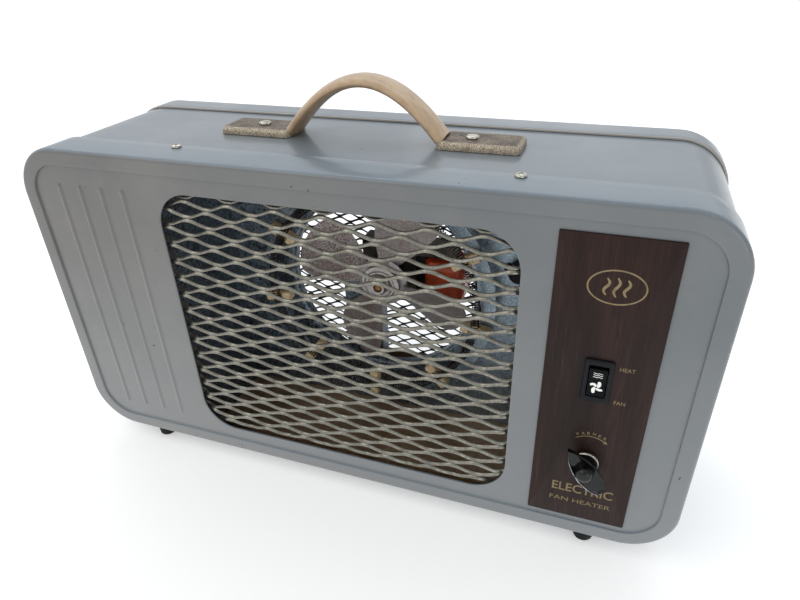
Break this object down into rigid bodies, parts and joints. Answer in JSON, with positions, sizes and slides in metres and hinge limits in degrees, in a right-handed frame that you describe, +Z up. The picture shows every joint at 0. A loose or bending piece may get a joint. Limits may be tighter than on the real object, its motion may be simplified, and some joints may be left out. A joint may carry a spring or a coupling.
{
  "type": "fan convector heater",
  "caption": "Portable fan heater in a pressed-steel case: expanded-metal outlet, axial fan behind a coiled-wire ring, rocker switch, thermostat knob and strap handle.",
  "frame": {"origin": "on the floor, under the middle of the heater's bounding box, knob and cord inlet included", "axes": "+Z up, +X to the right seen from the front, the grille and the controls face -Y"},
  "size_m": [0.48, 0.172, 0.3045],
  "materials": {
    "grey_paint": "satin silver-grey enamel, lightly worn",
    "blue_grey_paint": "satin blue-grey enamel, lightly worn",
    "galvanised": "spangled zinc coat",
    "nickel_mesh": "dull nickel plate",
    "walnut_foil": "dark walnut grain under satin lacquer",
    "black_gloss": "glossy",
    "black_satin": "satin",
    "rubber": "matte",
    "fan_aluminium": "dusty, dull",
    "dark_steel": "oiled laminations and strip",
    "bright_steel": "zinc-plated",
    "copper_coil": "red-orange varnish over copper wire",
    "bronze": "sintered bronze",
    "worn_plate": "tarnished and pitted nickel plate",
    "ceramic": "unglazed tan steatite",
    "nichrome": "dark oxidised wire",
    "cream_vinyl": "tan vinyl sleeve"
  },
  "bodies": {
    "case": {"front_cover": "grey_paint", "rear_cover": "blue_grey_paint", "casing_band": "blue_grey_paint", "front_grille": "nickel_mesh", "rear_grille": "dark_steel", "control_fascia": "walnut_foil", "switch_body": "black_satin", "thermostat_body": "ceramic", "fan_shroud": "galvanised", "left_baffle": "galvanised", "right_baffle": "galvanised", "motor_stator": "dark_steel", "motor_coil": "copper_coil", "motor_bracket_front": "fan_aluminium", "motor_bracket_rear": "fan_aluminium", "bearing_front": "bronze", "bearing_rear": "bronze", "motor_bolt_lower": "bright_steel", "motor_bolt_upper": "bright_steel", "motor_mount": "galvanised", "element_ring": "galvanised", "heating_coil": "nichrome", "terminal_bush": "ceramic", "thermal_cutout": "black_satin", "terminal_block": "ceramic", "cord_inlet": "rubber", "handle_grip": "cream_vinyl", "handle_core": "dark_steel", "handle_cap_left": "worn_plate", "handle_cap_right": "worn_plate", "handle_screw_left": "bright_steel", "handle_screw_right": "bright_steel", "foot_front_left": "rubber", "foot_rear_left": "rubber", "cover_screw_top_left": "bright_steel", "cover_screw_bottom_left": "bright_steel", "rear_screw_lower_left": "bright_steel", "rear_screw_upper_left": "bright_steel", "foot_front_right": "rubber", "foot_rear_right": "rubber", "cover_screw_top_right": "bright_steel", "cover_screw_bottom_right": "bright_steel", "rear_screw_lower_right": "bright_steel", "rear_screw_upper_right": "bright_steel", "insulator_1": "ceramic", "insulator_2": "ceramic", "insulator_3": "ceramic", "insulator_4": "ceramic", "insulator_5": "ceramic", "insulator_6": "ceramic", "insulator_7": "ceramic", "insulator_8": "ceramic", "insulator_9": "ceramic"},
    "fan": {"fan_blades": "fan_aluminium", "fan_hub": "fan_aluminium", "motor_shaft": "bright_steel", "motor_rotor": "dark_steel"},
    "rocker": {"switch_rocker": "black_gloss"},
    "knob": {"thermostat_knob": "black_gloss", "thermostat_spindle": "bright_steel"}
  },
  "joints": [
    {"name": "fan_spin", "type": "hinge", "parent": "case", "child": "fan", "pos_m": [0, 0.029, 0.138], "axis": [0, 1, 0], "continuous": true},
    {"name": "rocker_tilt", "type": "hinge", "parent": "case", "child": "rocker", "pos_m": [0.1746, -0.065, 0.15], "axis": [1, 0, 0], "range_deg": [-9, 9]},
    {"name": "thermostat_turn", "type": "hinge", "parent": "case", "child": "knob", "pos_m": [0.176, -0.068, 0.0855], "axis": [0, 1, 0], "range_deg": [-90, 180]}
  ]
}
